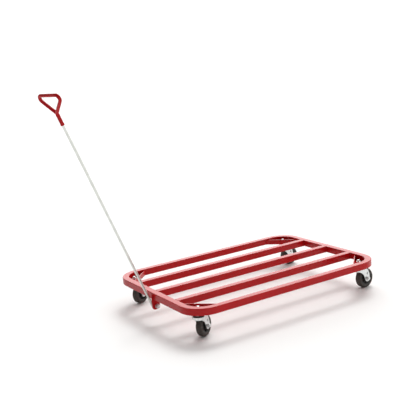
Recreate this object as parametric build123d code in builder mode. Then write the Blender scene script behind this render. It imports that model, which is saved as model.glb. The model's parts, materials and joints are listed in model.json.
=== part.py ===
from build123d import *
import os
from math import cos, radians, sin

# Flat slatted platform dolly with a hinged pull handle, in millimetres.
# +X runs from the handle end to the far end, and +Z up. The handle end is the front, and
# left and right are those of someone who walks ahead of it, so -Y is the left side.
# The origin is the middle of the deck's top face, which is the centre bar's top.

# ------------------------------------------------------------------ deck
DECK_LENGTH = 833.0
DECK_WIDTH = 600.0
TUBE = 25.4  # one-inch square steel tube
TUBE_WALL = 1.65
TUBE_EDGE = 2.5  # rounding of the tube's long edges
BEND_RADIUS = 76.2  # centre line of each corner bend of the ring
BAR_NAMES = ("deck_bar_left", "deck_bar_center", "deck_bar_right")
DRAIN_HOLE_RADIUS = 3.0  # drains the coating bath from the ring's tube

# ------------------------------------------------------------------ corner brackets
BRACKET_THICKNESS = 3.0
BRACKET_DIAGONAL = 146.0  # X plus Y distance from the deck's corner to the flange
BRACKET_TOP_DROP = 4.5  # the flange stops this far below the deck's top
BRACKET_ARC_GAP = 0.4  # weld gap between the plate and the inside of the bend
STEM_FROM_END = {-1: 53.0, 1: 58.0}  # at the handle end and at the far end
STEM_FROM_SIDE = {-1: 61.5, 1: 63.0}
STEM_HOLE_RADIUS = 5.2
BRACKET_BEND_RADIUS = 4.0  # outside of the fold between the flat and the flange

# ------------------------------------------------------------------ casters
WHEEL_RADIUS = 38.1
WHEEL_TRAIL = 27.0
CASTER_HEIGHT = 95.25  # floor to the underside of the deck
TYRE_HALF_WIDTH = 12.0
TYRE_INNER_RADIUS = 28.0
TYRE_SHOULDER = 6.0
HUB_RIM_HALF_WIDTH = 11.0
HUB_HALF_WIDTH = 14.5
HUB_BORE_RADIUS = 5.05
BUSH_RADIUS = 5.0
BUSH_BORE_RADIUS = 4.02
BUSH_END_GAP = 0.05  # between the bush's end and the fork's leg
AXLE_RADIUS = 3.97  # five-sixteenths bolt
AXLE_HEX = 12.7
AXLE_HEAD_HEIGHT = 5.2
AXLE_NUT_HEIGHT = 7.0
AXLE_TAIL = 9.0  # of the bolt past the fork's outer face, through the nut
FORK_PLATE = 2.5
FORK_INNER = 15.6  # half the gap between the fork's legs
CROWN_RADIUS = 23.0
CAP_RADIUS = 18.6  # the race cap, which the crown stands out from
CROWN_GAP = 15.0  # deck underside to the top of the fork's crown
FORK_END_RADIUS = 12.0
SKIRT_HEIGHT = 6.5
STEM_RADIUS = 4.76  # three-eighths threaded stem
STEM_LENGTH = 20.0  # above the underside of the bracket plate
STEM_NUT_HEIGHT = 8.2
LARGE_HEX = 14.3  # across flats of the stem nuts and of the pivot bolt
LOCK_WASHER_RADIUS = 8.2
LOCK_WASHER_HEIGHT = 2.4
RIVET_GAP = 0.15  # between the kingpin's head and the crown
KINGPIN_RADIUS = 4.0
KINGPIN_CLEARANCE = 0.08
BALL_RADIUS = 2.38
BALL_COUNT = 14
BALL_CIRCLE = 14.0
BALL_CLEARANCE = 0.07
# name, side of the deck in X and Y, and the direction that the caster trails in
CASTERS = (
    ("front_left", -1, -1, 31.0),
    ("rear_left", 1, -1, 5.0),
    ("front_right", -1, 1, 25.0),
    ("rear_right", 1, 1, -3.0),
)

# ------------------------------------------------------------------ hitch
PIVOT_DROP = 51.5  # deck top to the pivot bolt
PIVOT_INSET = 12.5  # end rail's outer face to the pivot bolt
HITCH_PLATE = 4.0
HITCH_INNER = 11.0  # middle of the handle's eye to the hitch plate
HITCH_HOOK = 5.0  # the plate laps the end rail's outer face by this much
HITCH_TOP_DROP = 5.0
HITCH_TAIL = 24.5  # end rail's outer face to the plate's inner edge
HITCH_END = 12.0  # pivot bolt to the plate's lowest edge
BOLT_RADIUS = 4.76
BOLT_CLEARANCE = 0.09
FACE_GAP = 0.2  # between a turning washer and the plate beside it
HITCH_END_ROUND = 11.0
NUT_WASHER_RADIUS = 8.0
EYE_WASHER_RADIUS = 10.3  # wide enough to keep the eye on the bolt
EYE_ROOM = 9.0  # middle of the eye to the washer under the bolt's head
WASHER_THICKNESS = 2.0
PIVOT_HEAD_HEIGHT = 6.4
PIVOT_NUT_HEIGHT = 9.0
PIVOT_TAIL = 11.5  # of the bolt past the washer, through the nut

# ------------------------------------------------------------------ pull handle
ROD_RADIUS = 4.76
EYE_RADIUS = 11.1  # centre line of the eye at the rod's lower end
EYE_START = 95.0  # angle where the eye's free end stops short of the rod
HANDLE_PITCH = 66.7  # the rod's angle above the horizontal at rest
HANDLE_SWAY = 16.0  # the turn to the side at rest, where the loose eye leans on its bolt
ROD_LENGTH = 800.5  # pivot to the foot of the grip's triangle
GRIP_HALF_WIDTH = 68.5  # to the sharp corner of the centre line
GRIP_HEIGHT = 62.6
GRIP_CORNER_RADIUS = 12.0
GRIP_CORE_RADIUS = 4.0
GRIP_SKIN_RADIUS = 5.9
NECK_RADIUS = 6.3
NECK_LENGTH = 44.0
NECK_LIP_RADIUS = 6.9
NECK_LIP_LENGTH = 3.0

# ------------------------------------------------------------------ fasteners
HEX_CHAMFER = 0.13  # of the corner radius, on nuts and bolt heads
TIP_CHAMFER = 1.0
HOLE_SLACK = 0.3  # radial, of a flat washer on its bolt

# ------------------------------------------------------------------ worked out
HALF_LENGTH = DECK_LENGTH / 2
HALF_WIDTH = DECK_WIDTH / 2
BEND_OUTER = BEND_RADIUS + TUBE / 2
BEND_INNER = BEND_RADIUS - TUBE / 2
BAR_LENGTH = DECK_LENGTH - 2 * TUBE
BAR_SPACING = (DECK_WIDTH - TUBE) / (len(BAR_NAMES) + 1)
FLOOR_Z = -TUBE - CASTER_HEIGHT
AXLE_Z = FLOOR_Z + WHEEL_RADIUS
CROWN_TOP_Z = -TUBE - CROWN_GAP
CROWN_BOTTOM_Z = CROWN_TOP_Z - FORK_PLATE
RACE_Z = CROWN_TOP_Z + 2 * (BALL_RADIUS + BALL_CLEARANCE)
FORK_OUTER = FORK_INNER + FORK_PLATE
PIVOT = Vector(-HALF_LENGTH + PIVOT_INSET, 0, -PIVOT_DROP)
GRIP_FOOT_DEPTH = GRIP_CORE_RADIUS * (1 + (GRIP_HEIGHT / GRIP_HALF_WIDTH) ** 2) ** 0.5
NUT_FACE = -(HITCH_INNER + HITCH_PLATE + FACE_GAP + WASHER_THICKNESS)
HEAD_FACE = EYE_ROOM + WASHER_THICKNESS


def finish(builder, name):
    """Label the finished piece and write it to its own STEP file."""
    builder.part.label = name
    export_step(builder.part, f"parts/{name}.step")


def chamfered_outline(radius, height):
    """Half section of a disc with both rims chamfered, for a revolve about the sketch's Y."""
    width = radius * HEX_CHAMFER
    rise = width / 2
    with BuildLine() as outline:
        Polyline(
            (0, 0),
            (radius - width, 0),
            (radius, rise),
            (radius, height - rise),
            (radius - width, height),
            (0, height),
            close=True,
        )
    return outline.edges()


def hexagon_piece(name, base, across_flats, height, hole_radius):
    """A hexagon nut or bolt head standing on the base plane, with chamfered corners."""
    outline = chamfered_outline(across_flats / 2 / cos(radians(30)), height)
    section = Plane(origin=base.origin, x_dir=base.x_dir, z_dir=-base.y_dir)
    with BuildPart() as piece:
        with BuildSketch(base):
            RegularPolygon(across_flats / 2, 6, major_radius=False)
        extrude(amount=height)
        with BuildSketch(section):
            make_face(outline)
        revolve(axis=Axis(base.origin, base.z_dir), mode=Mode.INTERSECT)
        if hole_radius:
            with BuildSketch(base):
                Circle(hole_radius)
            extrude(amount=height, mode=Mode.SUBTRACT)
    finish(piece, name)


def bolt(name, head_base, across_flats, head_height, radius, length):
    """A hexagon bolt: the head stands on the base plane and the shank points the other way."""
    outline = chamfered_outline(across_flats / 2 / cos(radians(30)), head_height)
    section = Plane(origin=head_base.origin, x_dir=head_base.x_dir, z_dir=-head_base.y_dir)
    with BuildPart() as piece:
        with BuildSketch(head_base):
            RegularPolygon(across_flats / 2, 6, major_radius=False)
        extrude(amount=head_height)
        with BuildSketch(section):
            make_face(outline)
        revolve(axis=Axis(head_base.origin, head_base.z_dir), mode=Mode.INTERSECT)
        with BuildSketch(head_base):
            Circle(radius)
        extrude(amount=-length)
        circles = piece.edges().filter_by(GeomType.CIRCLE)
        tip = circles.sort_by(Axis(head_base.origin, head_base.z_dir))
        chamfer(tip[0], length=TIP_CHAMFER)
    finish(piece, name)


# ------------------------------------------------------------------ deck pieces
def perimeter_rail():
    """The deck's outer ring: one square tube bent round four corners."""
    with BuildPart() as rail:
        with BuildSketch(Plane.XY.offset(-TUBE)):
            RectangleRounded(DECK_LENGTH, DECK_WIDTH, BEND_OUTER)
            RectangleRounded(
                DECK_LENGTH - 2 * TUBE, DECK_WIDTH - 2 * TUBE, BEND_INNER, mode=Mode.SUBTRACT
            )
        extrude(amount=TUBE)
        rims = rail.edges().group_by(Axis.Z)
        fillet(rims[0] + rims[-1], radius=TUBE_EDGE)
        inset = 2 * TUBE_WALL
        reach = 2 * TUBE - inset
        with BuildSketch(Plane.XY.offset(TUBE_WALL - TUBE)):
            RectangleRounded(DECK_LENGTH - inset, DECK_WIDTH - inset, BEND_OUTER - TUBE_WALL)
            RectangleRounded(
                DECK_LENGTH - reach, DECK_WIDTH - reach, BEND_INNER + TUBE_WALL, mode=Mode.SUBTRACT
            )
        extrude(amount=TUBE - inset, mode=Mode.SUBTRACT)
        with BuildSketch(Plane.XY.offset(-TUBE)):
            with GridLocations(DECK_LENGTH / 2, DECK_WIDTH - TUBE, 2, 2):
                Circle(DRAIN_HOLE_RADIUS)
        extrude(amount=TUBE_WALL, mode=Mode.SUBTRACT)
    finish(rail, "perimeter_rail")


def deck_bar(name, y):
    """One straight tube between the end rails, flush with the ring's top."""
    start = Plane(origin=(-BAR_LENGTH / 2, y, -TUBE / 2), x_dir=(0, 1, 0), z_dir=(1, 0, 0))
    with BuildPart() as bar:
        with BuildSketch(start):
            RectangleRounded(TUBE, TUBE, TUBE_EDGE)
            inner = TUBE - 2 * TUBE_WALL
            RectangleRounded(inner, inner, TUBE_EDGE - TUBE_WALL, mode=Mode.SUBTRACT)
        extrude(amount=BAR_LENGTH)
    finish(bar, name)


def corner_bracket(name, side_x, side_y):
    """A bent plate across a corner: a flat for the caster's stem and an upright flange."""

    def at(from_end, from_side):
        return (side_x * (HALF_LENGTH - from_end), side_y * (HALF_WIDTH - from_side))

    far = BRACKET_DIAGONAL - TUBE
    lap = BRACKET_THICKNESS * 2**0.5
    edge = BEND_OUTER + BRACKET_ARC_GAP
    middle = BEND_OUTER - (BEND_INNER - BRACKET_ARC_GAP) * cos(radians(45))
    with BuildPart() as bracket:
        with BuildSketch(Plane.XY.offset(-TUBE)):
            with BuildLine():
                Polyline(at(TUBE, edge), at(TUBE, far), at(far, TUBE), at(edge, TUBE))
                ThreePointArc(at(edge, TUBE), at(middle, middle), at(TUBE, edge))
            make_face()
        extrude(amount=BRACKET_THICKNESS)
        with BuildSketch(Plane.XY.offset(-TUBE)):
            with BuildLine():
                Polyline(
                    at(TUBE, far), at(far, TUBE), at(far - lap, TUBE), at(TUBE, far - lap), close=True
                )
            make_face()
        extrude(amount=TUBE - BRACKET_TOP_DROP)
        along_flange = Axis((0, 0, 0), (side_x, -side_y, 0))
        outward = Axis((0, 0, 0), (side_x, side_y, 0))
        underside = bracket.edges().filter_by(along_flange).group_by(Axis.Z)[0]
        fillet(underside.sort_by(outward)[0], radius=BRACKET_BEND_RADIUS)
        with BuildSketch(Plane.XY.offset(-TUBE)):
            with Locations(at(STEM_FROM_END[side_x], STEM_FROM_SIDE[side_x])):
                Circle(STEM_HOLE_RADIUS)
        extrude(amount=BRACKET_THICKNESS, mode=Mode.SUBTRACT)
    finish(bracket, name)


# ------------------------------------------------------------------ casters
def fork_leg_outline():
    """One leg seen from the side: it sweeps back and down to a round end at the axle."""
    rear_tangent = (WHEEL_TRAIL + FORK_END_RADIUS, AXLE_Z)
    front_angle = radians(205)
    front_tangent = (
        WHEEL_TRAIL + FORK_END_RADIUS * cos(front_angle),
        AXLE_Z + FORK_END_RADIUS * sin(front_angle),
    )
    lowest = (WHEEL_TRAIL + 1.0, AXLE_Z - (FORK_END_RADIUS**2 - 1.0) ** 0.5)
    skirt_z = CROWN_BOTTOM_Z - SKIRT_HEIGHT
    with BuildLine() as outline:
        Polyline((-15, skirt_z), (-15, CROWN_TOP_Z), (22, CROWN_TOP_Z), (31, CROWN_TOP_Z - 9))
        Spline(
            (31, CROWN_TOP_Z - 9),
            (37.5, CROWN_TOP_Z - 26),
            rear_tangent,
            tangents=((1, -1.6), (0, -1)),
        )
        ThreePointArc(rear_tangent, lowest, front_tangent)
        Spline(front_tangent, (7, -66), (-15, skirt_z), tangents=((-0.42, 0.9), (-1, 0.45)))
    return outline.edges()


def caster_stem(name, side):
    """The fixed top of a caster: threaded stem, race cap, and kingpin with its riveted head."""
    stem_top = STEM_LENGTH - TUBE
    head_top = CROWN_BOTTOM_Z - RIVET_GAP
    with BuildPart() as stem:
        with BuildSketch(side):
            with BuildLine():
                Polyline(
                    (0, stem_top),
                    (STEM_RADIUS - TIP_CHAMFER, stem_top),
                    (STEM_RADIUS, stem_top - TIP_CHAMFER),
                    (STEM_RADIUS, -TUBE),
                    (11.0, -TUBE),
                    (11.0, -TUBE - 3.4),
                    (CAP_RADIUS - 3.0, -TUBE - 3.9),
                    (CAP_RADIUS, -TUBE - 6.5),
                    (CAP_RADIUS, CROWN_TOP_Z + 1.8),
                    (CAP_RADIUS - 1.6, CROWN_TOP_Z + 1.8),
                    (CAP_RADIUS - 1.6, RACE_Z),
                    (KINGPIN_RADIUS, RACE_Z),
                    (KINGPIN_RADIUS, head_top),
                    (7.5, head_top),
                    (7.0, head_top - 1.6),
                    (4.0, head_top - 2.8),
                    (0, head_top - 2.8),
                    close=True,
                )
            make_face()
        revolve(axis=Axis(side.origin, (0, 0, 1)))
    finish(stem, name)


def lock_washer(name, base):
    """A split spring washer under the stem's nut."""
    with BuildPart() as washer:
        with BuildSketch(base):
            Circle(LOCK_WASHER_RADIUS)
            Circle(STEM_RADIUS + HOLE_SLACK, mode=Mode.SUBTRACT)
            with Locations(((STEM_RADIUS + LOCK_WASHER_RADIUS) / 2, 0)):
                Rectangle(5, 1.6, rotation=20, mode=Mode.SUBTRACT)
        extrude(amount=LOCK_WASHER_HEIGHT)
    finish(washer, name)


def swivel_balls(name, base):
    """The ring of bearing balls between the race cap and the fork's crown."""
    with BuildPart(base) as balls:
        with PolarLocations(BALL_CIRCLE, BALL_COUNT):
            Sphere(BALL_RADIUS)
    finish(balls, name)


def fork(name, frame, side):
    """The pressed fork: round crown, front skirt and two swept-back legs."""
    leg = fork_leg_outline()
    with BuildPart() as piece:
        with BuildSketch(frame.offset(CROWN_BOTTOM_Z)):
            Circle(CROWN_RADIUS)
            with Locations((11, 0)):
                Rectangle(22, 2 * FORK_OUTER)
        extrude(amount=FORK_PLATE)
        with BuildSketch(frame.offset(CROWN_BOTTOM_Z - SKIRT_HEIGHT)):
            Circle(CROWN_RADIUS)
            Circle(CROWN_RADIUS - FORK_PLATE, mode=Mode.SUBTRACT)
            with Locations((18.0, 0)):
                Rectangle(60, 80, mode=Mode.SUBTRACT)
        extrude(amount=SKIRT_HEIGHT)
        for offset in (FORK_OUTER, -FORK_INNER):
            with BuildSketch(side.offset(-offset)):
                make_face(leg)
            extrude(amount=FORK_PLATE)
        axle_side = side.offset(-FORK_OUTER)
        with BuildSketch(axle_side):
            with Locations((WHEEL_TRAIL, AXLE_Z)):
                Circle(BUSH_BORE_RADIUS)
            with Locations((WHEEL_TRAIL, AXLE_Z + 20)):
                SlotOverall(9, 5, rotation=90)
        extrude(amount=2 * FORK_OUTER, mode=Mode.SUBTRACT)
        with BuildSketch(frame.offset(CROWN_BOTTOM_Z)):
            Circle(KINGPIN_RADIUS + KINGPIN_CLEARANCE)
        extrude(amount=FORK_PLATE, mode=Mode.SUBTRACT)
    finish(piece, name)


def revolved_about_axle(name, frame, points, shoulder_radius=0.0):
    """A ring of the wheel: its half section runs along the axle in X and out from it in Y."""
    with BuildPart() as ring:
        with BuildSketch(frame) as section:
            with BuildLine():
                Polyline(*points, close=True)
            make_face()
            if shoulder_radius:
                fillet(section.vertices().group_by(Axis.Y)[-1], radius=shoulder_radius)
        revolve(axis=Axis(frame.origin, frame.x_dir))
    finish(ring, name)


def both_sides(points):
    """A whole section from its half on one side of the wheel's middle."""
    return list(points) + [(-along, radius) for along, radius in reversed(points)]


def caster(name, side_x, side_y, heading):
    """All ten pieces of one swivel caster."""
    x = side_x * (HALF_LENGTH - STEM_FROM_END[side_x])
    y = side_y * (HALF_WIDTH - STEM_FROM_SIDE[side_x])
    trail = Vector(cos(radians(heading)), sin(radians(heading)), 0)
    axle = Vector(-trail.Y, trail.X, 0)
    frame = Plane(origin=(x, y, 0), x_dir=trail, z_dir=(0, 0, 1))
    side = Plane(origin=(x, y, 0), x_dir=trail, z_dir=-axle)
    centre = Vector(x, y, AXLE_Z) + trail * WHEEL_TRAIL
    wheel = Plane(origin=centre, x_dir=axle, z_dir=trail)

    caster_stem(f"{name}_caster_stem", side)
    plate_top = BRACKET_THICKNESS - TUBE
    nut_bottom = plate_top + LOCK_WASHER_HEIGHT
    lock_washer(f"{name}_stem_lock_washer", frame.offset(plate_top))
    hexagon_piece(
        f"{name}_stem_nut", frame.offset(nut_bottom), LARGE_HEX, STEM_NUT_HEIGHT, STEM_RADIUS
    )
    swivel_balls(f"{name}_swivel_balls", frame.offset(CROWN_TOP_Z + BALL_RADIUS + BALL_CLEARANCE))
    fork(f"{name}_fork", frame, side)

    hub = (
        (HUB_HALF_WIDTH, HUB_BORE_RADIUS),
        (HUB_HALF_WIDTH, 10.0),
        (13.5, 11.0),
        (6.0, 12.0),
        (5.0, 22.0),
        (10.0, 23.0),
        (HUB_RIM_HALF_WIDTH, 24.5),
        (HUB_RIM_HALF_WIDTH, TYRE_INNER_RADIUS),
    )
    revolved_about_axle(f"{name}_wheel_hub", wheel, both_sides(hub))
    tyre = (
        (HUB_RIM_HALF_WIDTH, TYRE_INNER_RADIUS),
        (TYRE_HALF_WIDTH, TYRE_INNER_RADIUS + 2.0),
        (TYRE_HALF_WIDTH, WHEEL_RADIUS),
    )
    revolved_about_axle(f"{name}_wheel_tyre", wheel, both_sides(tyre), TYRE_SHOULDER)
    bush_end = FORK_INNER - BUSH_END_GAP
    bush = ((bush_end, BUSH_BORE_RADIUS), (bush_end, BUSH_RADIUS))
    revolved_about_axle(f"{name}_axle_bush", wheel, both_sides(bush))

    head_base = Plane(origin=centre + axle * FORK_OUTER, x_dir=trail, z_dir=axle)
    shank = 2 * FORK_OUTER + AXLE_TAIL
    bolt(f"{name}_axle_bolt", head_base, AXLE_HEX, AXLE_HEAD_HEIGHT, AXLE_RADIUS, shank)
    nut_base = Plane(origin=centre - axle * FORK_OUTER, x_dir=trail, z_dir=-axle)
    hexagon_piece(f"{name}_axle_nut", nut_base, AXLE_HEX, AXLE_NUT_HEIGHT, AXLE_RADIUS)


# ------------------------------------------------------------------ hitch
def hitch_plate():
    """The hitch's one lug: it laps the end rail's outer face and hangs down to the pivot."""
    outer_face = -HALF_LENGTH
    front = outer_face - HITCH_HOOK
    back = outer_face + HITCH_TAIL
    low = -PIVOT_DROP - HITCH_END
    plane = Plane(origin=(0, -HITCH_INNER, 0), x_dir=(1, 0, 0), z_dir=(0, -1, 0))
    with BuildPart() as plate:
        with BuildSketch(plane) as outline:
            with BuildLine():
                Polyline(
                    (front, -HITCH_TOP_DROP),
                    (outer_face, -HITCH_TOP_DROP),
                    (outer_face, -TUBE),
                    (back, -TUBE),
                    (back, low),
                    (front, low),
                    close=True,
                )
            make_face()
            fillet(outline.vertices().group_by(Axis.Y)[0], radius=HITCH_END_ROUND)
            with Locations((PIVOT.X, PIVOT.Z)):
                Circle(BOLT_RADIUS + BOLT_CLEARANCE, mode=Mode.SUBTRACT)
        extrude(amount=HITCH_PLATE)
    finish(plate, "hitch_plate")


def pivot_washers():
    """The flat washers: one between plate and nut, and a wider one beside the eye."""
    with BuildPart() as washers:
        for y, radius in ((NUT_FACE, NUT_WASHER_RADIUS), (EYE_ROOM, EYE_WASHER_RADIUS)):
            base = Plane(origin=(PIVOT.X, y, PIVOT.Z), x_dir=(1, 0, 0), z_dir=(0, 1, 0))
            with BuildSketch(base):
                Circle(radius)
                Circle(BOLT_RADIUS + HOLE_SLACK, mode=Mode.SUBTRACT)
            extrude(amount=WASHER_THICKNESS)
    finish(washers, "pivot_washers")


# ------------------------------------------------------------------ pull handle
PITCH = radians(HANDLE_PITCH)
SWAY = radians(HANDLE_SWAY)
ROD_DIR = Vector(-cos(SWAY) * cos(PITCH), -sin(SWAY) * cos(PITCH), sin(PITCH))
ROD_BACK = Vector(cos(SWAY) * sin(PITCH), sin(SWAY) * sin(PITCH), cos(PITCH))
EYE_AXIS = Vector(sin(SWAY), -cos(SWAY), 0)
EYE_PLANE = Plane(origin=PIVOT, x_dir=ROD_BACK, z_dir=EYE_AXIS)
GRIP_FOOT = PIVOT - ROD_BACK * EYE_RADIUS + ROD_DIR * ROD_LENGTH
GRIP_PLANE = Plane(origin=GRIP_FOOT, x_dir=EYE_AXIS, z_dir=-ROD_BACK)


def across(wire):
    """The plane square to a path at its start."""
    return Plane(origin=wire @ 0, z_dir=wire % 0)


def pull_rod():
    """The straight rod, its lower end curled into an open eye round the pivot bolt."""
    with BuildPart() as rod:
        with BuildLine(EYE_PLANE) as path:
            CenterArc((0, 0), EYE_RADIUS, EYE_START, -180 - EYE_START)
            Line((-EYE_RADIUS, 0), (-EYE_RADIUS, ROD_LENGTH - GRIP_FOOT_DEPTH))
        route = path.wire()
        with BuildSketch(across(route)):
            Circle(ROD_RADIUS)
        sweep(path=route)
    finish(rod, "pull_rod")


def grip_route():
    """One half of the grip's triangle, from the middle of the bar to just past its foot."""
    past_foot = 0.1
    with BuildLine(GRIP_PLANE) as path:
        FilletPolyline(
            (0, GRIP_HEIGHT),
            (GRIP_HALF_WIDTH, GRIP_HEIGHT),
            (-past_foot * GRIP_HALF_WIDTH, -past_foot * GRIP_HEIGHT),
            radius=GRIP_CORNER_RADIUS,
        )
    return path.wire()


def grip_loop():
    """The triangular steel loop welded on top of the rod."""
    mirror_plane = Plane(origin=GRIP_FOOT, z_dir=EYE_AXIS)
    route = grip_route()
    with BuildPart() as loop:
        with BuildSketch(across(route)):
            Circle(GRIP_CORE_RADIUS)
        sweep(path=route)
        split(bisect_by=mirror_plane, keep=Keep.TOP)
        mirror(about=mirror_plane)
    finish(loop, "grip_loop")
    return loop.part


def grip_cover(loop):
    """The soft vinyl dipped over the loop and down the top of the rod."""
    mirror_plane = Plane(origin=GRIP_FOOT, z_dir=EYE_AXIS)
    neck = Plane(origin=GRIP_FOOT - ROD_DIR * NECK_LENGTH, x_dir=EYE_AXIS, z_dir=ROD_DIR)
    route = grip_route()
    with BuildPart() as cover:
        with BuildSketch(across(route)):
            Circle(GRIP_SKIN_RADIUS)
        sweep(path=route)
        split(bisect_by=mirror_plane, keep=Keep.TOP)
        mirror(about=mirror_plane)
        with BuildSketch(neck):
            Circle(NECK_RADIUS)
        extrude(amount=NECK_LENGTH)
        with BuildSketch(neck):
            Circle(NECK_LIP_RADIUS)
        extrude(amount=NECK_LIP_LENGTH)
        with BuildSketch(neck):
            Circle(ROD_RADIUS)
        extrude(amount=NECK_LENGTH - GRIP_FOOT_DEPTH, mode=Mode.SUBTRACT)
        add(loop, mode=Mode.SUBTRACT)
    finish(cover, "grip_cover")


# ------------------------------------------------------------------ build everything
os.makedirs("parts", exist_ok=True)

perimeter_rail()
for index, bar_name in enumerate(BAR_NAMES):
    deck_bar(bar_name, (index - 1) * BAR_SPACING)
for caster_name, end, flank, heading in CASTERS:
    corner_bracket(f"{caster_name}_bracket", end, flank)
    caster(caster_name, end, flank, heading)

hitch_plate()
pivot_head = Plane(origin=(PIVOT.X, HEAD_FACE, PIVOT.Z), x_dir=(1, 0, 0), z_dir=(0, 1, 0))
pivot_tail = Plane(origin=(PIVOT.X, NUT_FACE, PIVOT.Z), x_dir=(1, 0, 0), z_dir=(0, -1, 0))
pivot_shank = HEAD_FACE - NUT_FACE + PIVOT_TAIL
bolt("pivot_bolt", pivot_head, LARGE_HEX, PIVOT_HEAD_HEIGHT, BOLT_RADIUS, pivot_shank)
hexagon_piece("pivot_nut", pivot_tail, LARGE_HEX, PIVOT_NUT_HEIGHT, BOLT_RADIUS)
pivot_washers()
pull_rod()
grip_cover(grip_loop())
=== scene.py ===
"""Looks for the platform dolly with pull handle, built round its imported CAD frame. Metres."""
import json
import math

import bmesh
import bpy
from mathutils import Matrix, Vector


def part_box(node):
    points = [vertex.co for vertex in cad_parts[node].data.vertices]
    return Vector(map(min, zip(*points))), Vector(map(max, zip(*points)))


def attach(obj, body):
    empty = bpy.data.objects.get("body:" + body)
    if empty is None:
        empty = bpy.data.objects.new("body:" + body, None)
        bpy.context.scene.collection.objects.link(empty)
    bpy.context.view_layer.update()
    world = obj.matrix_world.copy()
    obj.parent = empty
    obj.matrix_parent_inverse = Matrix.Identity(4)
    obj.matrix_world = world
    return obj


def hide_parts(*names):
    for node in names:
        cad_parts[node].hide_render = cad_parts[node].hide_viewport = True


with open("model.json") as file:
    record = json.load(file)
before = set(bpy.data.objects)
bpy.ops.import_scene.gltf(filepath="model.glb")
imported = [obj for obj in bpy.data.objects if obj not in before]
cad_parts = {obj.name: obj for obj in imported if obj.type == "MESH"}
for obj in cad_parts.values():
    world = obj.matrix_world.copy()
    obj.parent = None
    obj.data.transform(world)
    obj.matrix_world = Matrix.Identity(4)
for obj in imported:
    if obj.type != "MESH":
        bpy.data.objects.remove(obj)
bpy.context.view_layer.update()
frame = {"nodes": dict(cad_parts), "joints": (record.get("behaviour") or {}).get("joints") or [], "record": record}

NODES = frame["nodes"]
JOINTS = {joint["name"]: joint for joint in frame["joints"]}
SLOT_OF = {part["node"]: part["material_slot"] for part in frame["record"]["subparts"]}
CASTERS = ("front_left", "rear_left", "front_right", "rear_right")
MM = 0.001

# The CAD's own sizes that the added pieces sit on.
TUBE = 25.4 * MM
BEND_OUTER = 88.9 * MM
BRACKET_THICKNESS = 3.0 * MM
BRACKET_DIAGONAL = 146.0 * MM
STEM_RADIUS = 4.76 * MM
AXLE_RADIUS = 3.97 * MM
TYRE_HALF_WIDTH = 12.0 * MM
CAP_RADIUS = 18.6 * MM
HANDLE_PITCH = math.radians(66.7)
HANDLE_SWAY = math.radians(16.0)
EYE_RADIUS = 11.1 * MM
ROD_LENGTH = 800.5 * MM
GRIP_HALF_WIDTH = 68.5 * MM
GRIP_HEIGHT = 62.6 * MM
GRIP_CORNER_RADIUS = 12.0 * MM
GRIP_SKIN_RADIUS = 5.9 * MM
NECK_RADIUS = 6.3 * MM
NECK_LENGTH = 44.0 * MM
NECK_LIP_RADIUS = 6.9 * MM
AXLE_NUT_FACE = 25.1 * MM  # the nut's outer face, from the wheel's middle along the axle
AXLE_TIP = 2.0 * MM  # how far the axle bolt shows past its nut
DECK_LOW, DECK_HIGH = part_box("perimeter_rail")
FLOOR_Z = min(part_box(f"{name}_wheel_tyre")[0].z for name in CASTERS)


# ------------------------------------------------------------------ materials
NOISE_LOW, NOISE_HIGH = 0.35, 0.65  # most of a noise texture's values lie between these


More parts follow.
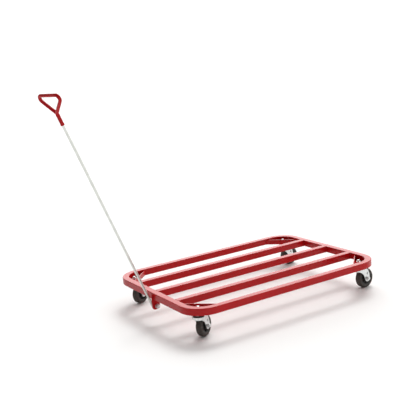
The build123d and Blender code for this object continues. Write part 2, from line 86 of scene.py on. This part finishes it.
class Surface:
    """A Principled material and short ways to feed it from textures in the row's own metres."""

    def __init__(self, name, color, roughness, metallic=0.0):
        self.material = bpy.data.materials.new(name)
        self.material.use_nodes = True
        self.tree = self.material.node_tree
        self.shader = self.tree.nodes["Principled BSDF"]
        self.shader.inputs["Base Color"].default_value = (*color, 1)
        self.shader.inputs["Roughness"].default_value = roughness
        self.shader.inputs["Metallic"].default_value = metallic
        self.place = self.tree.nodes.new("ShaderNodeTexCoord").outputs["Object"]

    def set(self, **values):
        for name, value in values.items():
            self.shader.inputs[name.replace("_", " ")].default_value = value

    def link(self, source, target):
        self.tree.links.new(source, target)

    def noise(self, scale, detail=3.0, place=None):
        node = self.tree.nodes.new("ShaderNodeTexNoise")
        node.inputs["Scale"].default_value = scale
        node.inputs["Detail"].default_value = detail
        node.inputs["Roughness"].default_value = 0.55
        self.link(place or self.place, node.inputs["Vector"])
        return node.outputs["Fac"]

    def stretched(self, direction, keep):
        """The place with only a share kept along a direction, so that a noise runs in lines."""
        dot = self.tree.nodes.new("ShaderNodeVectorMath")
        dot.operation = "DOT_PRODUCT"
        dot.inputs[1].default_value = direction
        self.link(self.place, dot.inputs[0])
        along = self.tree.nodes.new("ShaderNodeVectorMath")
        along.operation = "SCALE"
        along.inputs[0].default_value = Vector(direction) * (1 - keep)
        self.link(dot.outputs["Value"], along.inputs["Scale"])
        rest = self.tree.nodes.new("ShaderNodeVectorMath")
        rest.operation = "SUBTRACT"
        self.link(self.place, rest.inputs[0])
        self.link(along.outputs["Vector"], rest.inputs[1])
        return rest.outputs["Vector"]

    def colors(self, source, low, high, start=NOISE_LOW, end=NOISE_HIGH):
        """Base colour from low to high as the source rises."""
        node = self.tree.nodes.new("ShaderNodeValToRGB")
        node.color_ramp.elements[0].position = start
        node.color_ramp.elements[1].position = end
        node.color_ramp.elements[0].color = (*low, 1)
        node.color_ramp.elements[1].color = (*high, 1)
        self.link(source, node.inputs["Fac"])
        self.link(node.outputs["Color"], self.shader.inputs["Base Color"])

    def roughness(self, source, low, high):
        """Roughness from low to high as the source rises."""
        node = self.tree.nodes.new("ShaderNodeMapRange")
        node.inputs["From Min"].default_value = NOISE_LOW
        node.inputs["From Max"].default_value = NOISE_HIGH
        node.inputs["To Min"].default_value = low
        node.inputs["To Max"].default_value = high
        self.link(source, node.inputs["Value"])
        self.link(node.outputs["Result"], self.shader.inputs["Roughness"])

    def bump(self, source, height):
        """A relief of that height in metres."""
        node = self.tree.nodes.new("ShaderNodeBump")
        node.inputs["Strength"].default_value = 1.0
        node.inputs["Distance"].default_value = height
        self.link(source, node.inputs["Height"])
        self.link(node.outputs["Normal"], self.shader.inputs["Normal"])


def red_powder_coat():
    """Gloss powder coat: even deep red with a fine orange peel."""
    coat = Surface("red_powder_coat", (0.45, 0.004, 0.006), 0.22)
    coat.colors(coat.noise(9.0), (0.44, 0.0035, 0.005), (0.46, 0.0045, 0.007))
    coat.roughness(coat.noise(60.0), 0.2, 0.25)
    coat.bump(coat.noise(650.0, detail=2.0), 0.015 * MM)
    coat.set(Specular_IOR_Level=0.22)
    return coat.material


def zinc_plate():
    """Bright zinc with a faint spangle and slightly uneven brightness."""
    zinc = Surface("zinc_plate", (0.72, 0.74, 0.74), 0.3, metallic=1.0)
    zinc.colors(zinc.noise(220.0), (0.62, 0.64, 0.65), (0.80, 0.81, 0.79))
    zinc.roughness(zinc.noise(420.0), 0.24, 0.42)
    zinc.bump(zinc.noise(1800.0, detail=1.0), 0.012 * MM)
    return zinc.material


def bearing_steel():
    """Polished balls with a film of grease."""
    steel = Surface("bearing_steel", (0.55, 0.55, 0.56), 0.12, metallic=1.0)
    steel.roughness(steel.noise(900.0), 0.08, 0.2)
    return steel.material


def black_hub():
    """Moulded black plastic with a fine texture."""
    hub = Surface("black_hub", (0.022, 0.019, 0.017), 0.5)
    hub.colors(hub.noise(90.0), (0.017, 0.015, 0.013), (0.030, 0.026, 0.023))
    hub.roughness(hub.noise(700.0), 0.42, 0.6)
    hub.bump(hub.noise(2200.0, detail=1.0), 0.02 * MM)
    return hub.material


def tread_rubber():
    """Dark brown-black rubber, a little dusty."""
    rubber = Surface("tread_rubber", (0.042, 0.033, 0.027), 0.6)
    dust = rubber.noise(120.0, detail=5.0)
    rubber.colors(dust, (0.030, 0.024, 0.020), (0.060, 0.047, 0.038))
    rubber.roughness(rubber.noise(300.0), 0.5, 0.75)
    rubber.bump(rubber.noise(1500.0, detail=2.0), 0.03 * MM)
    return rubber.material


def bright_rod():
    """Zinc-plated drawn rod, with faint lines along it."""
    rod = Surface("bright_rod", (0.63, 0.64, 0.61), 0.26, metallic=1.0)
    lines = rod.noise(1400.0, detail=2.0, place=rod.stretched(ROD_DIR, keep=0.02))
    rod.colors(rod.noise(45.0), (0.60, 0.61, 0.58), (0.67, 0.68, 0.65))
    rod.roughness(lines, 0.2, 0.32)
    rod.bump(lines, 0.008 * MM)
    return rod.material


def red_vinyl():
    """Dipped soft vinyl: deep saturated red with a smooth, slightly wavy gloss."""
    vinyl = Surface("red_vinyl", (0.38, 0.001, 0.004), 0.2)
    vinyl.colors(vinyl.noise(40.0), (0.36, 0.001, 0.003), (0.40, 0.0015, 0.005))
    vinyl.roughness(vinyl.noise(150.0), 0.17, 0.24)
    vinyl.bump(vinyl.noise(260.0, detail=1.0), 0.04 * MM)
    vinyl.set(Specular_IOR_Level=0.2)
    return vinyl.material


# ------------------------------------------------------------------ the handle's own directions
ROD_DIR = Vector((
    -math.cos(HANDLE_SWAY) * math.cos(HANDLE_PITCH),
    -math.sin(HANDLE_SWAY) * math.cos(HANDLE_PITCH),
    math.sin(HANDLE_PITCH),
))
EYE_AXIS = Vector((math.sin(HANDLE_SWAY), -math.cos(HANDLE_SWAY), 0))
ROD_BACK = Vector((
    math.cos(HANDLE_SWAY) * math.sin(HANDLE_PITCH),
    math.sin(HANDLE_SWAY) * math.sin(HANDLE_PITCH),
    math.cos(HANDLE_PITCH),
))
PIVOT = Vector(JOINTS["handle_pitch"]["pos_m"])
GRIP_FOOT = PIVOT - ROD_BACK * EYE_RADIUS + ROD_DIR * ROD_LENGTH

MATERIALS = {
    "red_powder_coat": red_powder_coat(),
    "zinc_plate": zinc_plate(),
    "bearing_steel": bearing_steel(),
    "black_hub": black_hub(),
    "tread_rubber": tread_rubber(),
    "bright_rod": bright_rod(),
    "red_vinyl": red_vinyl(),
}


def dress_cad_nodes():
    """Each CAD node takes the material of its slot."""
    for node_name, node in NODES.items():
        for slot in node.material_slots:
            slot.material = MATERIALS[SLOT_OF[node_name]]


# ------------------------------------------------------------------ mesh tools
def add_piece(name, parts, slot, body):
    """One mesh object from several (points, faces) parts, riding on a body."""
    points, faces = [], []
    for part_points, part_faces in parts:
        start = len(points)
        points += part_points
        faces += [[start + i for i in face] for face in part_faces]
    mesh = bpy.data.meshes.new(name)
    mesh.from_pydata(points, [], faces)
    mesh.materials.append(MATERIALS[slot])
    mesh.shade_smooth()
    piece = bpy.data.objects.new(name, mesh)
    bpy.context.scene.collection.objects.link(piece)
    tidy = bmesh.new()
    tidy.from_mesh(mesh)
    bmesh.ops.recalc_face_normals(tidy, faces=tidy.faces)
    tidy.to_mesh(mesh)
    tidy.free()
    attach(piece, body)
    return piece


def sweep(path, radii, sides=12, closed=False):
    """A round tube of changing radius along a path, capped at its ends unless it is closed."""
    points, faces = [], []
    count = len(path)
    side = None
    for i, place in enumerate(path):
        before = path[i - 1] if closed or i else place
        after = path[(i + 1) % count] if closed or i < count - 1 else place
        heading = (after - before).normalized()
        if side is None:
            side = heading.orthogonal().normalized()
        side = (side - heading * side.dot(heading)).normalized()
        other = heading.cross(side)
        for k in range(sides):
            turn = math.tau * k / sides
            points.append(place + (side * math.cos(turn) + other * math.sin(turn)) * radii[i])
    for i in range(count if closed else count - 1):
        for k in range(sides):
            near, far = i * sides, (i + 1) % count * sides
            faces.append([near + k, near + (k + 1) % sides, far + (k + 1) % sides, far + k])
    if not closed:
        faces.append(list(range(sides)))
        faces.append(list(range((count - 1) * sides, count * sides)))
    return points, faces


def weld_bead(start, end, radius):
    """A fillet bead with overlapping ripples and rounded ends."""
    ring_step = 0.35 * MM
    ripple = 1.5 * MM
    ripple_depth = 0.16  # as a share of the radius
    least_taper = 0.04  # the square of the end rings' share of the radius
    start, end = Vector(start), Vector(end)
    length = (end - start).length
    count = max(12, int(length / ring_step))
    path, radii = [], []
    for i in range(count + 1):
        along = length * i / count
        to_end = min(along, length - along) / radius
        taper = math.sqrt(max(least_taper, 1 - max(0.0, 1 - to_end) ** 2))
        wave = 1 - ripple_depth * (along / ripple % 1.0) ** 2
        path.append(start.lerp(end, i / count))
        radii.append(radius * taper * wave)
    return sweep(path, radii, sides=10)


def ring_about(centre, axis, radius, thickness, segments=72, sides=8):
    """A thin round ring about an axis."""
    axis = Vector(axis).normalized()
    side = axis.orthogonal().normalized()
    other = axis.cross(side)
    path = []
    for i in range(segments):
        turn = math.tau * i / segments
        path.append(centre + (side * math.cos(turn) + other * math.sin(turn)) * radius)
    return sweep(path, [thickness] * segments, sides, closed=True)


def thread_ridge(base, axis, length, radius, pitch, steps=20):
    """The helical ridge of a screw thread, from its base along the axis, thin at both ends."""
    crest = 0.25 * MM
    end_share = 0.3  # of the crest
    growth = 4.0  # so the crest is full within a fifth of the ridge
    axis = Vector(axis).normalized()
    side = axis.orthogonal().normalized()
    other = axis.cross(side)
    turns = (length - pitch) / pitch
    count = max(steps, int(turns * steps))
    path, radii = [], []
    for i in range(count + 1):
        turn = math.tau * turns * i / count
        rise = pitch / 2 + pitch * turns * i / count
        outward = side * math.cos(turn) + other * math.sin(turn)
        path.append(base + axis * rise + outward * radius)
        radii.append(crest * min(1.0, end_share + growth * min(i, count - i) / count))
    return sweep(path, radii, sides=6)


# ------------------------------------------------------------------ welds
def deck_welds():
    """Fillets round the bars' ends, where they meet the end rails."""
    upright_radius, under_radius = 2.1 * MM, 1.9 * MM
    foot_gap, top_gap = 1.5 * MM, 3.0 * MM
    inset = 2.0 * MM
    beads = []
    for bar in ("deck_bar_left", "deck_bar_center", "deck_bar_right"):
        low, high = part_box(bar)
        for x in (low.x, high.x):
            for y in (low.y, high.y):
                foot, top = (x, y, low.z + foot_gap), (x, y, high.z - top_gap)
                beads.append(weld_bead(foot, top, upright_radius))
            left, right = (x, low.y + inset, low.z), (x, high.y - inset, low.z)
            beads.append(weld_bead(left, right, under_radius))
    add_piece("bar_end_welds", beads, "red_powder_coat", "frame")


def bracket_welds():
    """Beads where each corner bracket's flat and flange meet the ring's inner faces."""
    flat_radius, flange_radius = 1.8 * MM, 1.9 * MM
    bend_gap = 3.0 * MM  # the flat's bead starts this far past the corner's bend
    flange_gap = 4.0 * MM  # and stops this far short of the flange's bead
    top_gap = 1.5 * MM
    plate_top = DECK_LOW.z + BRACKET_THICKNESS
    near = BEND_OUTER + bend_gap
    far = BRACKET_DIAGONAL - TUBE
    flat_end = far - flange_gap
    for caster in CASTERS:
        stem = Vector(JOINTS[f"{caster}_swivel_turn"]["pos_m"])
        side_x = math.copysign(1, stem.x)
        side_y = math.copysign(1, stem.y)
        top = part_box(f"{caster}_bracket")[1].z - top_gap

        def at(from_end, from_side, z):
            x = side_x * (DECK_HIGH.x - from_end)
            return (x, side_y * (DECK_HIGH.y - from_side), z)

        beads = [
            weld_bead(at(TUBE, near, plate_top), at(TUBE, flat_end, plate_top), flat_radius),
            weld_bead(at(near, TUBE, plate_top), at(flat_end, TUBE, plate_top), flat_radius),
            weld_bead(at(TUBE, far, plate_top), at(TUBE, far, top), flange_radius),
            weld_bead(at(far, TUBE, plate_top), at(far, TUBE, top), flange_radius),
        ]
        add_piece(f"{caster}_bracket_welds", beads, "red_powder_coat", "frame")


def hitch_welds():
    """Beads down the front of the end rail and under it, on both sides of the hitch plate."""
    front_radius, under_radius = 1.6 * MM, 1.8 * MM
    end_gap, top_gap = 3.0 * MM, 1.0 * MM
    low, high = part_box("hitch_plate")
    face = DECK_LOW.x
    under = DECK_LOW.z
    back = min(high.x, face + TUBE) - end_gap
    beads = []
    for y in (low.y, high.y):
        foot, top = (face, y, under + end_gap), (face, y, high.z - top_gap)
        beads.append(weld_bead(foot, top, front_radius))
        beads.append(weld_bead((face + end_gap, y, under), (back, y, under), under_radius))
    add_piece("hitch_welds", beads, "red_powder_coat", "frame")


# ------------------------------------------------------------------ casters and fasteners
STEM_THREAD_PITCH = 1.2 * MM
AXLE_THREAD_PITCH = 0.9 * MM
PIVOT_THREAD_PITCH = 1.1 * MM
SEAL_RINGS = 3
SEAL_FOOT = 1.1 * MM  # the lowest ring's middle, above the fork's crown
SEAL_STEP = 1.7 * MM
SEAL_RADIUS = CAP_RADIUS + 0.5 * MM
SEAL_THICKNESS = 1.05 * MM
RIB_START = 11.0 * MM  # from the axle, inside the hub's boss
RIB_END = 22.8 * MM  # inside the hub's rim
RIB_FOOT = 4.5 * MM  # from the wheel's middle plane, just inside the hub's web
TYRE_RINGS = ((31.6 * MM, 0.4 * MM), (30.4 * MM, 0.3 * MM))  # each one's radius and thickness


def caster_trim(caster):
    """What a plain turned and bent caster lacks: threads, a dust seal, tyre rings and hub ribs."""
    nut_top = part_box(f"{caster}_stem_nut")[1].z
    stem = Vector(JOINTS[f"{caster}_swivel_turn"]["pos_m"])
    base = Vector((stem.x, stem.y, nut_top))
    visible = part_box(f"{caster}_caster_stem")[1].z - nut_top
    thread = thread_ridge(base, (0, 0, 1), visible, STEM_RADIUS, STEM_THREAD_PITCH)
    add_piece(f"{caster}_stem_thread", [thread], "zinc_plate", "frame")

    crown_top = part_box(f"{caster}_fork")[1].z
    rounds = []
    for k in range(SEAL_RINGS):
        centre = Vector((stem.x, stem.y, crown_top + SEAL_FOOT + SEAL_STEP * k))
        rounds.append(ring_about(centre, (0, 0, 1), SEAL_RADIUS, SEAL_THICKNESS))
    add_piece(f"{caster}_dust_seal", rounds, "black_hub", "frame")

    spin = JOINTS[f"{caster}_wheel_spin"]
    centre = Vector(spin["pos_m"])
    axle = Vector(spin["axis"]).normalized()
    nut_face = centre - axle * AXLE_NUT_FACE
    thread = thread_ridge(nut_face, -axle, AXLE_TIP, AXLE_RADIUS, AXLE_THREAD_PITCH)
    add_piece(f"{caster}_axle_thread", [thread], "zinc_plate", f"{caster}_swivel")

    rings = []
    for flip in (-1, 1):
        side = centre + axle * flip * TYRE_HALF_WIDTH
        for radius, thickness in TYRE_RINGS:
            rings.append(ring_about(side, axle, radius, thickness))
    add_piece(f"{caster}_tyre_rings", rings, "tread_rubber", f"{caster}_wheel")
    add_piece(f"{caster}_hub_ribs", hub_ribs(centre, axle), "black_hub", f"{caster}_wheel")


def hub_ribs(centre, axle, count=8):
    """Radial ribs from the boss to the rim, on both sides of the web, with rounded tops."""
    side = axle.orthogonal().normalized()
    other = axle.cross(side)
    ribs = []
    for flip in (-1, 1):
        for i in range(count):
            turn = math.tau * i / count
            outward = side * math.cos(turn) + other * math.sin(turn)
            ribs.append(rib(centre, axle * flip, outward, axle.cross(outward)))
    return ribs


def rib(centre, up, outward, across):
    """One rib: a wall with a rounded top that falls towards the rim."""
    stations = 8
    boss_height, fall = 11.8 * MM, 2.6 * MM
    # from the foot to the shoulder: half the width in mm, and the share of the height
    half = [(1.1, 0.0), (1.1, 0.7), (0.75, 0.93)]
    profile = [(-width, height) for width, height in half] + [(0.0, 1.0)] + half[::-1]
    points, faces = [], []
    for i in range(stations + 1):
        share = i / stations
        reach = RIB_START + (RIB_END - RIB_START) * share
        top = boss_height - fall * math.sin(math.pi * share / 2)
        for width, height in profile:
            rise = RIB_FOOT + (top - RIB_FOOT) * height
            points.append(centre + outward * reach + across * width * MM + up * rise)
    row = len(profile)
    for i in range(stations):
        for k in range(row):
            near, far = i * row, (i + 1) * row
            faces.append([near + k, near + (k + 1) % row, far + (k + 1) % row, far + k])
    faces.append(list(range(row)))
    faces.append(list(range(stations * row, (stations + 1) * row)))
    return points, faces


def pivot_thread():
    """The thread on the pivot bolt's tip, past its nut."""
    nut_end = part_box("pivot_nut")[0].y
    bolt_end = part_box("pivot_bolt")[0].y
    base = Vector((PIVOT.x, nut_end, PIVOT.z))
    visible = nut_end - bolt_end
    thread = thread_ridge(base, (0, -1, 0), visible, STEM_RADIUS, PIVOT_THREAD_PITCH)
    add_piece("pivot_bolt_thread", [thread], "zinc_plate", "hitch_pivot")


# ------------------------------------------------------------------ grip
def rounded_corner(before, corner, after, radius, steps=14):
    """Points of the arc that rounds a corner between two straight runs."""
    back = (before - corner).normalized()
    on = (after - corner).normalized()
    half = back.angle(on) / 2
    reach = radius / math.tan(half)
    centre = corner + (back + on).normalized() * (radius / math.sin(half))
    first, last = corner + back * reach, corner + on * reach
    arc = []
    for i in range(steps + 1):
        mid = first.lerp(last, i / steps) - centre
        arc.append(centre + mid.normalized() * radius)
    return arc


def grip_skin():
    """The dipped vinyl: one smooth skin over the loop and down the rod, with a thick lip."""
    right = GRIP_FOOT + EYE_AXIS * GRIP_HALF_WIDTH + ROD_DIR * GRIP_HEIGHT
    left = GRIP_FOOT - EYE_AXIS * GRIP_HALF_WIDTH + ROD_DIR * GRIP_HEIGHT
    loop = [GRIP_FOOT]
    loop += rounded_corner(GRIP_FOOT, right, left, GRIP_CORNER_RADIUS)
    loop += rounded_corner(right, left, GRIP_FOOT, GRIP_CORNER_RADIUS)
    loop.append(GRIP_FOOT)
    arms = sweep(loop, [GRIP_SKIN_RADIUS] * len(loop), sides=24)

    # distance below the triangle's foot, and the skin's radius there
    profile = [
        (0.0, NECK_RADIUS * 0.9),
        (6.0 * MM, NECK_RADIUS * 1.05),
        (16.0 * MM, NECK_RADIUS),
        (NECK_LENGTH - 6.0 * MM, NECK_RADIUS),
        (NECK_LENGTH - 3.0 * MM, NECK_LIP_RADIUS * 0.98),
        (NECK_LENGTH - 1.2 * MM, NECK_LIP_RADIUS),
        (NECK_LENGTH, NECK_LIP_RADIUS * 0.86),
    ]
    neck_path = [GRIP_FOOT - ROD_DIR * depth for depth, _ in profile]
    neck = sweep(neck_path, [radius for _, radius in profile], sides=24)

    skin = add_piece("grip_skin", [arms, neck], "red_vinyl", "handle")
    remesh = skin.modifiers.new("one_skin", "REMESH")
    remesh.mode = "VOXEL"
    remesh.voxel_size = 0.8 * MM
    remesh.use_smooth_shade = True
    soften = skin.modifiers.new("soften", "SMOOTH")
    soften.factor = 0.5
    soften.iterations = 10
    shown = skin.evaluated_get(bpy.context.evaluated_depsgraph_get())
    mesh = bpy.data.meshes.new_from_object(shown)
    skin.modifiers.clear()
    skin.data = mesh
    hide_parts("grip_cover")


# ------------------------------------------------------------------ stage, light and camera
def add_floor():
    """A wide white floor under the wheels, with painted shade darkening it where the dolly stands."""
    # painted shade: the floor colour is darker within reach of the dolly and fades to plain white further out
    painted_shade_color, far_color = (0.865, 0.865, 0.855), (0.94, 0.94, 0.94)
    near, far = 0.45, 0.9
    reach = 40.0
    corners = 96
    paint = Surface("white_floor", (0.93, 0.93, 0.93), 0.8)
    distance = paint.tree.nodes.new("ShaderNodeVectorMath")
    distance.operation = "LENGTH"
    paint.link(paint.place, distance.inputs[0])
    paint.colors(distance.outputs["Value"], painted_shade_color, far_color, near, far)
    points = []
    for i in range(corners):
        turn = math.tau * i / corners
        points.append((reach * math.cos(turn), reach * math.sin(turn), FLOOR_Z))
    mesh = bpy.data.meshes.new("floor")
    mesh.from_pydata(points, [], [list(range(corners))])
    mesh.materials.append(paint.material)
    floor = bpy.data.objects.new("floor", mesh)
    bpy.context.scene.collection.objects.link(floor)


def add_world():
    """A studio that is bright beyond the dolly's far end and dim beyond its handle end, with a
    glowing backdrop where the camera looks."""
    world = bpy.data.worlds.new("studio")
    bpy.context.scene.world = world
    world.use_nodes = True
    tree = world.node_tree
    background = tree.nodes["Background"]
    background.inputs["Color"].default_value = (1.0, 0.995, 0.99, 1)
    direction = tree.nodes.new("ShaderNodeTexCoord").outputs["Generated"]

    def lit_side(towards, start, end, low, high):
        """Strength that rises from low to high as a direction turns towards one side."""
        dot = tree.nodes.new("ShaderNodeVectorMath")
        dot.operation = "DOT_PRODUCT"
        dot.inputs[1].default_value = Vector(towards).normalized()
        tree.links.new(direction, dot.inputs[0])
        ramp = tree.nodes.new("ShaderNodeMapRange")
        ramp.interpolation_type = "SMOOTHSTEP"
        ramp.inputs["From Min"].default_value = start
        ramp.inputs["From Max"].default_value = end
        ramp.inputs["To Min"].default_value = low
        ramp.inputs["To Max"].default_value = high
        tree.links.new(dot.outputs["Value"], ramp.inputs["Value"])
        return ramp.outputs["Result"]

    total = tree.nodes.new("ShaderNodeMath")
    total.operation = "ADD"
    room = lit_side((0.95, 0.3, 0.15), start=-0.35, end=0.55, low=0.22, high=1.3)
    backdrop = lit_side((0.507, 0.862, 0.28), start=0.86, end=0.96, low=0.0, high=1.4)
    tree.links.new(room, total.inputs[0])
    tree.links.new(backdrop, total.inputs[1])
    tree.links.new(total.outputs["Value"], background.inputs["Strength"])


def add_sun():
    """One large soft lamp, high beyond the dolly's far right corner."""
    shines_towards = Vector((-0.454, -0.356, -0.817))
    data = bpy.data.lights.new("sun", "SUN")
    data.energy = 1.3
    data.angle = math.radians(25)
    sun = bpy.data.objects.new("sun", data)
    sun.rotation_mode = "QUATERNION"
    sun.rotation_quaternion = shines_towards.to_track_quat("-Z", "Y")
    bpy.context.scene.collection.objects.link(sun)


def add_camera():
    """A short telephoto view from the front left, a little above the deck and slightly rolled."""
    place = (-1.56809, -2.36014, 0.84445)
    azimuth = math.radians(30.49)
    dip = math.radians(11.35)
    roll = math.radians(-5.06)
    ahead = Vector((
        math.sin(azimuth) * math.cos(dip), math.cos(azimuth) * math.cos(dip), -math.sin(dip)
    ))
    level = Vector((math.cos(azimuth), -math.sin(azimuth), 0))
    upright = level.cross(ahead)
    right = level * math.cos(roll) + upright * math.sin(roll)
    up = right.cross(ahead)
    turned = Matrix((right, up, -ahead)).transposed()
    data = bpy.data.cameras.new("camera")
    data.sensor_width = 36.0
    data.lens = 68.73
    camera = bpy.data.objects.new("camera", data)
    camera.matrix_world = Matrix.Translation(place) @ turned.to_4x4()
    bpy.context.scene.collection.objects.link(camera)
    bpy.context.scene.camera = camera


# ------------------------------------------------------------------ put it together
dress_cad_nodes()
deck_welds()
bracket_welds()
hitch_welds()
for caster_name in CASTERS:
    caster_trim(caster_name)
pivot_thread()
grip_skin()
add_floor()
add_world()
add_sun()
add_camera()
bpy.context.scene.view_settings.view_transform = "Standard"
